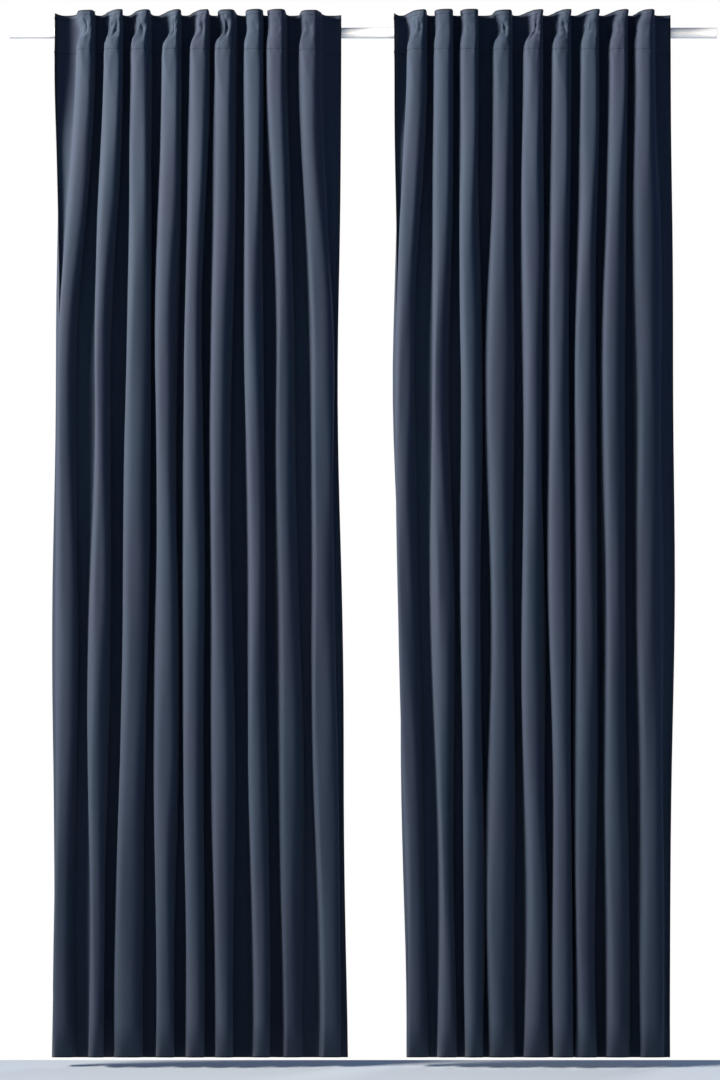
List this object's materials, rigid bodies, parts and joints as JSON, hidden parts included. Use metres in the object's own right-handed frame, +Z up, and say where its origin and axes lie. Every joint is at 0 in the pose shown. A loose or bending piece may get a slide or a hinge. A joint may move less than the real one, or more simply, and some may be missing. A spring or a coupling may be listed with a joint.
{
  "type": "curtain panels on rod",
  "caption": "Pair of full-length dark blue curtain panels with hidden back loops, gathered in soft folds on a round white rod held by wall brackets.",
  "frame": {"origin": "on the wall plane, straight behind the middle of the rod", "axes": "+X along the rod to the right as seen from the room, +Y towards the wall, +Z up"},
  "size_m": [1.7, 0.235, 2.502],
  "materials": {
    "rod_white": "satin",
    "cap_plastic": "satin",
    "bracket_white": "satin",
    "zinc_steel": "satin",
    "curtain_cloth": "matte",
    "heading_tape": "matte",
    "loop_webbing": "matte"
  },
  "bodies": {
    "root": {"rod": "rod_white", "rod_end_cap_left": "cap_plastic", "rod_end_cap_right": "cap_plastic", "bracket_wall_plate_left": "bracket_white", "bracket_wall_screw_left_upper": "zinc_steel", "bracket_wall_screw_left_lower": "zinc_steel", "bracket_arm_left": "bracket_white", "bracket_rod_cup_left": "bracket_white", "left_panel_heading_tape": "heading_tape", "left_panel_loop_1": "loop_webbing", "bracket_wall_plate_right": "bracket_white", "bracket_wall_screw_right_upper": "zinc_steel", "bracket_wall_screw_right_lower": "zinc_steel", "bracket_arm_right": "bracket_white", "bracket_rod_cup_right": "bracket_white", "right_panel_heading_tape": "heading_tape", "right_panel_loop_1": "loop_webbing"},
    "left_clamp_screw": {"bracket_clamp_screw_left": "zinc_steel"},
    "right_clamp_screw": {"bracket_clamp_screw_right": "zinc_steel"},
    "left_leading_edge": {"left_panel_loop_10": "loop_webbing", "left_panel_fold_9": "curtain_cloth"},
    "left_carrier_2": {"left_panel_loop_2": "loop_webbing", "left_panel_fold_1": "curtain_cloth"},
    "left_carrier_3": {"left_panel_loop_3": "loop_webbing", "left_panel_fold_2": "curtain_cloth"},
    "left_carrier_4": {"left_panel_loop_4": "loop_webbing", "left_panel_fold_3": "curtain_cloth"},
    "left_carrier_5": {"left_panel_loop_5": "loop_webbing", "left_panel_fold_4": "curtain_cloth"},
    "left_carrier_6": {"left_panel_loop_6": "loop_webbing", "left_panel_fold_5": "curtain_cloth"},
    "left_carrier_7": {"left_panel_loop_7": "loop_webbing", "left_panel_fold_6": "curtain_cloth"},
    "left_carrier_8": {"left_panel_loop_8": "loop_webbing", "left_panel_fold_7": "curtain_cloth"},
    "left_carrier_9": {"left_panel_loop_9": "loop_webbing", "left_panel_fold_8": "curtain_cloth"},
    "right_leading_edge": {"right_panel_loop_10": "loop_webbing", "right_panel_fold_9": "curtain_cloth"},
    "right_carrier_2": {"right_panel_loop_2": "loop_webbing", "right_panel_fold_1": "curtain_cloth"},
    "right_carrier_3": {"right_panel_loop_3": "loop_webbing", "right_panel_fold_2": "curtain_cloth"},
    "right_carrier_4": {"right_panel_loop_4": "loop_webbing", "right_panel_fold_3": "curtain_cloth"},
    "right_carrier_5": {"right_panel_loop_5": "loop_webbing", "right_panel_fold_4": "curtain_cloth"},
    "right_carrier_6": {"right_panel_loop_6": "loop_webbing", "right_panel_fold_5": "curtain_cloth"},
    "right_carrier_7": {"right_panel_loop_7": "loop_webbing", "right_panel_fold_6": "curtain_cloth"},
    "right_carrier_8": {"right_panel_loop_8": "loop_webbing", "right_panel_fold_7": "curtain_cloth"},
    "right_carrier_9": {"right_panel_loop_9": "loop_webbing", "right_panel_fold_8": "curtain_cloth"}
  },
  "joints": [
    {"name": "left_clamp_screw_turn", "type": "hinge", "parent": "root", "child": "left_clamp_screw", "pos_m": [-0.682, -0.12, -0.02], "axis": [0, 0, 1], "range_deg": [-1080, 0]},
    {"name": "right_clamp_screw_turn", "type": "hinge", "parent": "root", "child": "right_clamp_screw", "pos_m": [0.682, -0.12, -0.02], "axis": [0, 0, 1], "range_deg": [-1080, 0]},
    {"name": "left_panel_draw", "type": "slide", "parent": "root", "child": "left_leading_edge", "axis": [1, 0, 0], "range_m": [-0.265, 0.05], "deforming": ["left_panel_heading_tape", "left_panel_fold_1", "left_panel_fold_2", "left_panel_fold_3", "left_panel_fold_4", "left_panel_fold_5", "left_panel_fold_6", "left_panel_fold_7", "left_panel_fold_8", "left_panel_fold_9"]},
    {"name": "left_loop_2_slide", "type": "slide", "parent": "root", "child": "left_carrier_2", "axis": [1, 0, 0], "range_m": [-0.0153, 0.0037]},
    {"name": "left_loop_3_slide", "type": "slide", "parent": "root", "child": "left_carrier_3", "axis": [1, 0, 0], "range_m": [-0.0401, 0.0084]},
    {"name": "left_loop_4_slide", "type": "slide", "parent": "root", "child": "left_carrier_4", "axis": [1, 0, 0], "range_m": [-0.0774, 0.0154]},
    {"name": "left_loop_5_slide", "type": "slide", "parent": "root", "child": "left_carrier_5", "axis": [1, 0, 0], "range_m": [-0.1186, 0.0232]},
    {"name": "left_loop_6_slide", "type": "slide", "parent": "root", "child": "left_carrier_6", "axis": [1, 0, 0], "range_m": [-0.1613, 0.0312]},
    {"name": "left_loop_7_slide", "type": "slide", "parent": "root", "child": "left_carrier_7", "axis": [1, 0, 0], "range_m": [-0.2002, 0.0386]},
    {"name": "left_loop_8_slide", "type": "slide", "parent": "root", "child": "left_carrier_8", "axis": [1, 0, 0], "range_m": [-0.23, 0.0442]},
    {"name": "left_loop_9_slide", "type": "slide", "parent": "root", "child": "left_carrier_9", "axis": [1, 0, 0], "range_m": [-0.2515, 0.0483]},
    {"name": "right_panel_draw", "type": "slide", "parent": "root", "child": "right_leading_edge", "axis": [-1, 0, 0], "range_m": [-0.255, 0.07], "deforming": ["right_panel_heading_tape", "right_panel_fold_1", "right_panel_fold_2", "right_panel_fold_3", "right_panel_fold_4", "right_panel_fold_5", "right_panel_fold_6", "right_panel_fold_7", "right_panel_fold_8", "right_panel_fold_9"]},
    {"name": "right_loop_2_slide", "type": "slide", "parent": "root", "child": "right_carrier_2", "axis": [-1, 0, 0], "range_m": [-0.0097, 0.0034]},
    {"name": "right_loop_3_slide", "type": "slide", "parent": "root", "child": "right_carrier_3", "axis": [-1, 0, 0], "range_m": [-0.0329, 0.0098]},
    {"name": "right_loop_4_slide", "type": "slide", "parent": "root", "child": "right_carrier_4", "axis": [-1, 0, 0], "range_m": [-0.0644, 0.0184]},
    {"name": "right_loop_5_slide", "type": "slide", "parent": "root", "child": "right_carrier_5", "axis": [-1, 0, 0], "range_m": [-0.1029, 0.029]},
    {"name": "right_loop_6_slide", "type": "slide", "parent": "root", "child": "right_carrier_6", "axis": [-1, 0, 0], "range_m": [-0.1468, 0.041]},
    {"name": "right_loop_7_slide", "type": "slide", "parent": "root", "child": "right_carrier_7", "axis": [-1, 0, 0], "range_m": [-0.1963, 0.0546]},
    {"name": "right_loop_8_slide", "type": "slide", "parent": "root", "child": "right_carrier_8", "axis": [-1, 0, 0], "range_m": [-0.2241, 0.0622]},
    {"name": "right_loop_9_slide", "type": "slide", "parent": "root", "child": "right_carrier_9", "axis": [-1, 0, 0], "range_m": [-0.2448, 0.0679]}
  ],
  "couplings": [
    {"joint": "left_loop_2_slide", "follows": "left_panel_draw", "ratio": 0.0538},
    {"joint": "left_loop_3_slide", "follows": "left_panel_draw", "ratio": 0.1476},
    {"joint": "left_loop_4_slide", "follows": "left_panel_draw", "ratio": 0.2882},
    {"joint": "left_loop_5_slide", "follows": "left_panel_draw", "ratio": 0.4439},
    {"joint": "left_loop_6_slide", "follows": "left_panel_draw", "ratio": 0.6048},
    {"joint": "left_loop_7_slide", "follows": "left_panel_draw", "ratio": 0.7518},
    {"joint": "left_loop_8_slide", "follows": "left_panel_draw", "ratio": 0.8643},
    {"joint": "left_loop_9_slide", "follows": "left_panel_draw", "ratio": 0.9451},
    {"joint": "right_loop_2_slide", "follows": "right_panel_draw", "ratio": 0.034},
    {"joint": "right_loop_3_slide", "follows": "right_panel_draw", "ratio": 0.1251},
    {"joint": "right_loop_4_slide", "follows": "right_panel_draw", "ratio": 0.2486},
    {"joint": "right_loop_5_slide", "follows": "right_panel_draw", "ratio": 0.3996},
    {"joint": "right_loop_6_slide", "follows": "right_panel_draw", "ratio": 0.5719},
    {"joint": "right_loop_7_slide", "follows": "right_panel_draw", "ratio": 0.766},
    {"joint": "right_loop_8_slide", "follows": "right_panel_draw", "ratio": 0.8749},
    {"joint": "right_loop_9_slide", "follows": "right_panel_draw", "ratio": 0.956}
  ]
}
